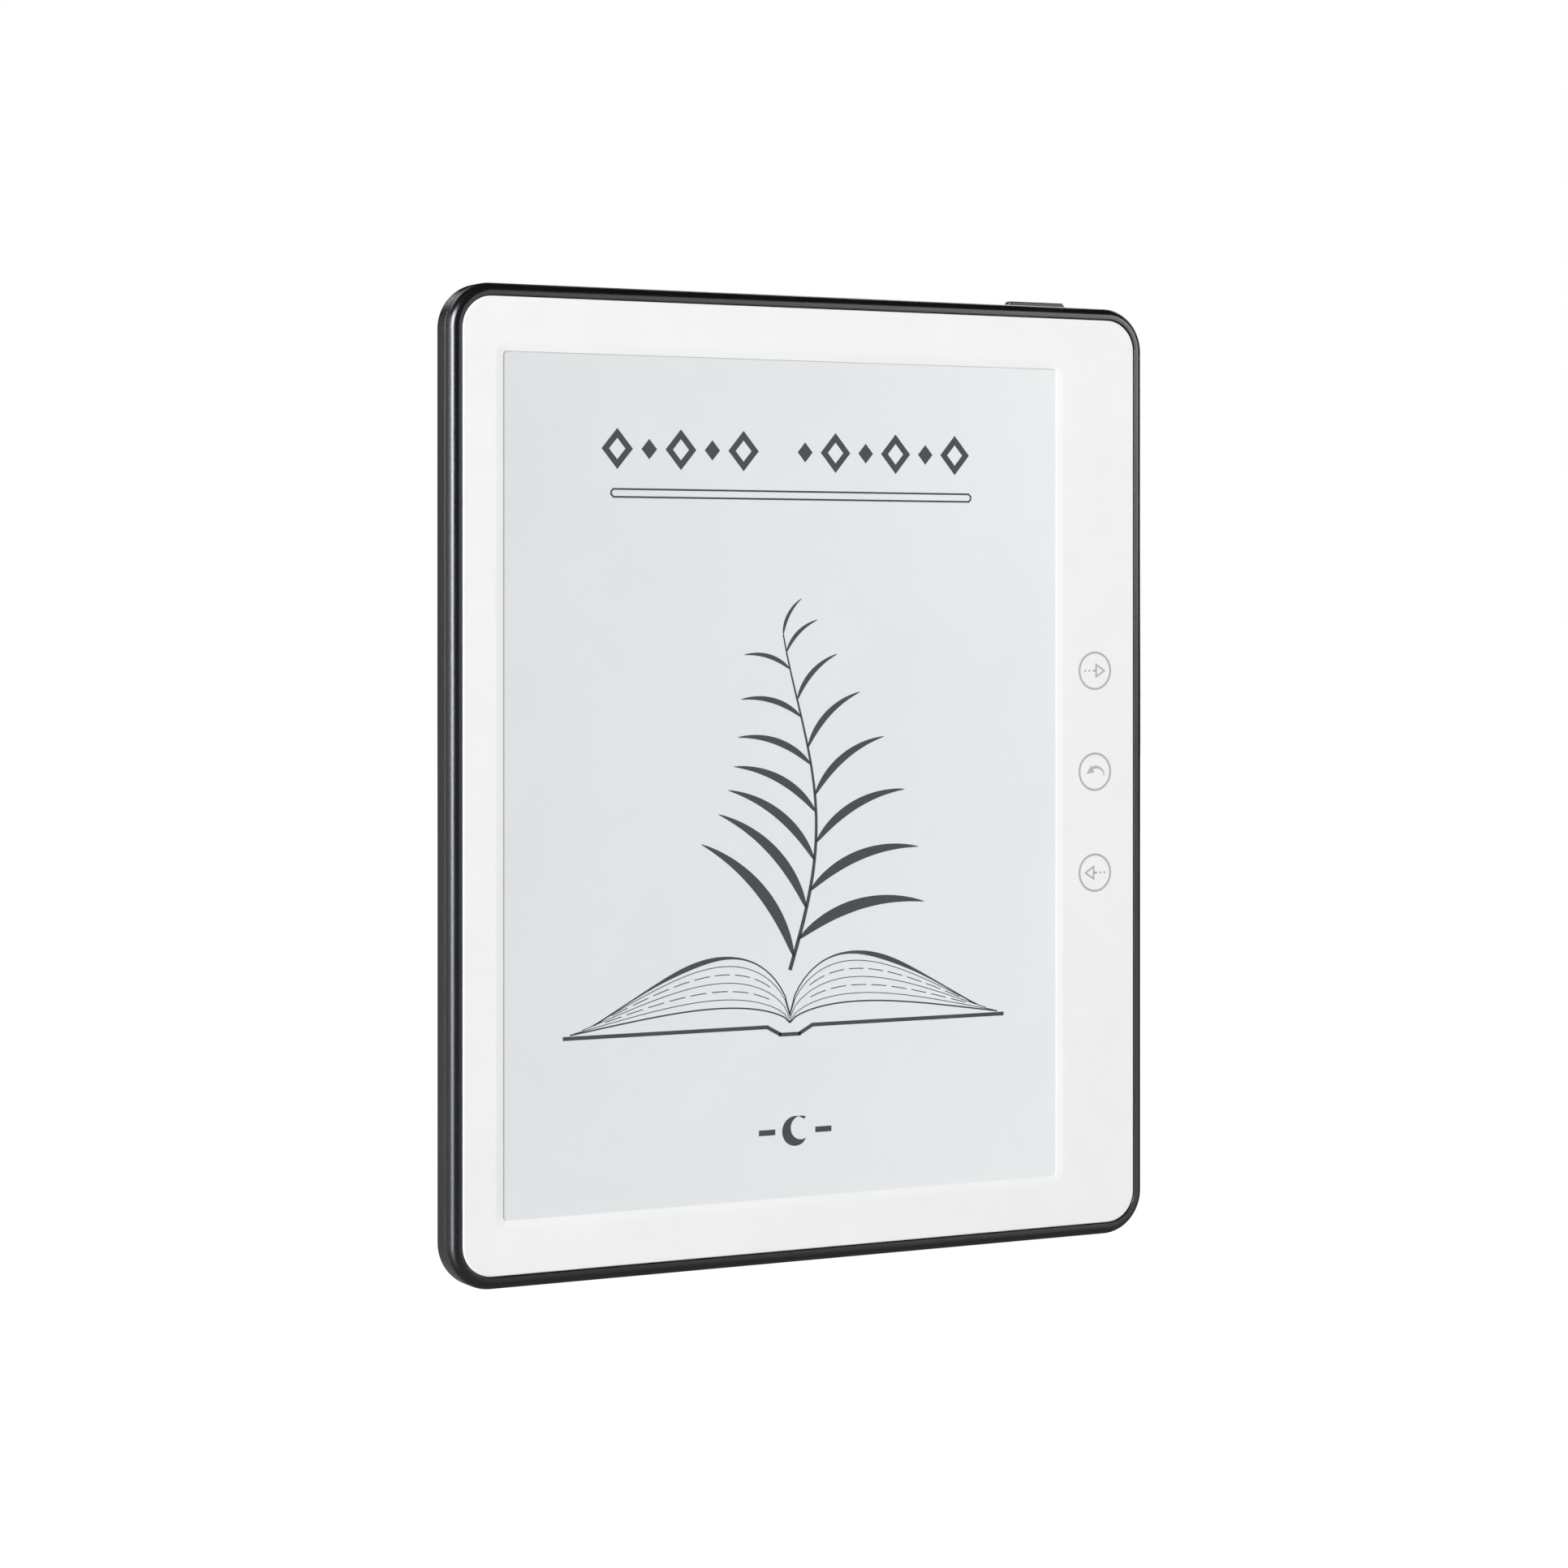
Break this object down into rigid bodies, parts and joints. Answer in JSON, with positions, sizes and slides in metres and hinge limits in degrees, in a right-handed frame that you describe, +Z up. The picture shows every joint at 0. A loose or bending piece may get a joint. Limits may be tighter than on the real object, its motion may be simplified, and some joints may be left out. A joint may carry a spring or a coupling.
{
  "type": "e-reader",
  "caption": "Slim upright e-reader: white front panel with a recessed ink screen and side touch keys in a rounded dark case, top power button",
  "frame": {"origin": "under the middle of the body, on the plane of its bottom edge", "axes": "+Z up along the long sides, +X to the reader's right, the screen faces -Y"},
  "size_m": [0.1534, 0.0086, 0.1884],
  "materials": {
    "white_plastic": "smooth off-white moulding, faint satin",
    "dark_plastic": "charcoal moulding, satin with a fine grain",
    "ink_film": "matt paper-grey sheet",
    "display_glass": "thin backplane glass",
    "foam": "soft black foam",
    "tape": "black double-sided tape",
    "alloy": "pressed sheet, matt",
    "steel": "thin nickel-plated sheet",
    "circuit_board": "green solder mask",
    "chip_black": "moulded package, matt",
    "connector_plastic": "cream heat-resistant plastic",
    "latch_plastic": "black heat-resistant plastic",
    "flex": "amber film",
    "cell_pouch": "soft silver pouch",
    "wire_red": "insulated wire",
    "wire_black": "insulated wire",
    "clear_plastic": "clear rod",
    "led": "small moulded lamp"
  },
  "bodies": {
    "reader": {"front_bezel": "white_plastic", "front_frame": "dark_plastic", "rear_cover": "dark_plastic", "screen_film": "ink_film", "display_glass": "display_glass", "display_foam": "foam", "bezel_tape": "tape", "battery_tape": "tape", "chassis_plate": "alloy", "power_switch": "steel", "reset_switch": "steel", "shield_can": "steel", "wifi_module": "steel", "wifi_antenna": "steel", "usb_shell": "steel", "card_slot": "steel", "chassis_screw_1": "steel", "chassis_screw_2": "steel", "chassis_screw_3": "steel", "chassis_screw_4": "steel", "chassis_screw_5": "steel", "chassis_screw_6": "steel", "chassis_screw_7": "steel", "chassis_screw_8": "steel", "board_screw_1": "steel", "board_screw_2": "steel", "board_screw_3": "steel", "board_screw_4": "steel", "main_board": "circuit_board", "battery_circuit": "circuit_board", "processor": "chip_black", "memory_chip": "chip_black", "storage_chip": "chip_black", "power_chip": "chip_black", "usb_tongue": "chip_black", "display_socket": "connector_plastic", "key_socket": "connector_plastic", "battery_plug": "connector_plastic", "battery_socket": "connector_plastic", "display_flex": "flex", "key_flex": "flex", "battery_cell": "cell_pouch", "battery_wire_red": "wire_red", "battery_wire_black": "wire_black", "light_pipe": "clear_plastic", "status_light": "led"},
    "power_button": {"power_button": "dark_plastic"},
    "power_plunger": {"power_plunger": "latch_plastic"},
    "reset_plunger": {"reset_plunger": "latch_plastic"},
    "display_latch": {"display_latch": "latch_plastic"},
    "key_latch": {"key_latch": "latch_plastic"}
  },
  "joints": [
    {"name": "power_button_press", "type": "slide", "parent": "reader", "child": "power_button", "axis": [0, 0, -1], "range_m": [0, 0.0003], "stiffness_N_per_m": 1500, "springref_m": -0.0006},
    {"name": "power_plunger_press", "type": "slide", "parent": "reader", "child": "power_plunger", "axis": [0, 0, -1], "range_m": [0, 0.0003]},
    {"name": "reset_plunger_press", "type": "slide", "parent": "reader", "child": "reset_plunger", "axis": [0, 0, 1], "range_m": [0, 0.0003], "stiffness_N_per_m": 1500, "springref_m": -0.0006},
    {"name": "display_latch_flip", "type": "hinge", "parent": "reader", "child": "display_latch", "pos_m": [0.007, 0.00158, 0.04085], "axis": [-1, 0, 0], "range_deg": [0, 90]},
    {"name": "key_latch_flip", "type": "hinge", "parent": "reader", "child": "key_latch", "pos_m": [0.0648, 0.00158, 0.11705], "axis": [-1, 0, 0], "range_deg": [0, 90]}
  ],
  "couplings": [
    {"joint": "power_plunger_press", "follows": "power_button_press", "ratio": 1}
  ]
}
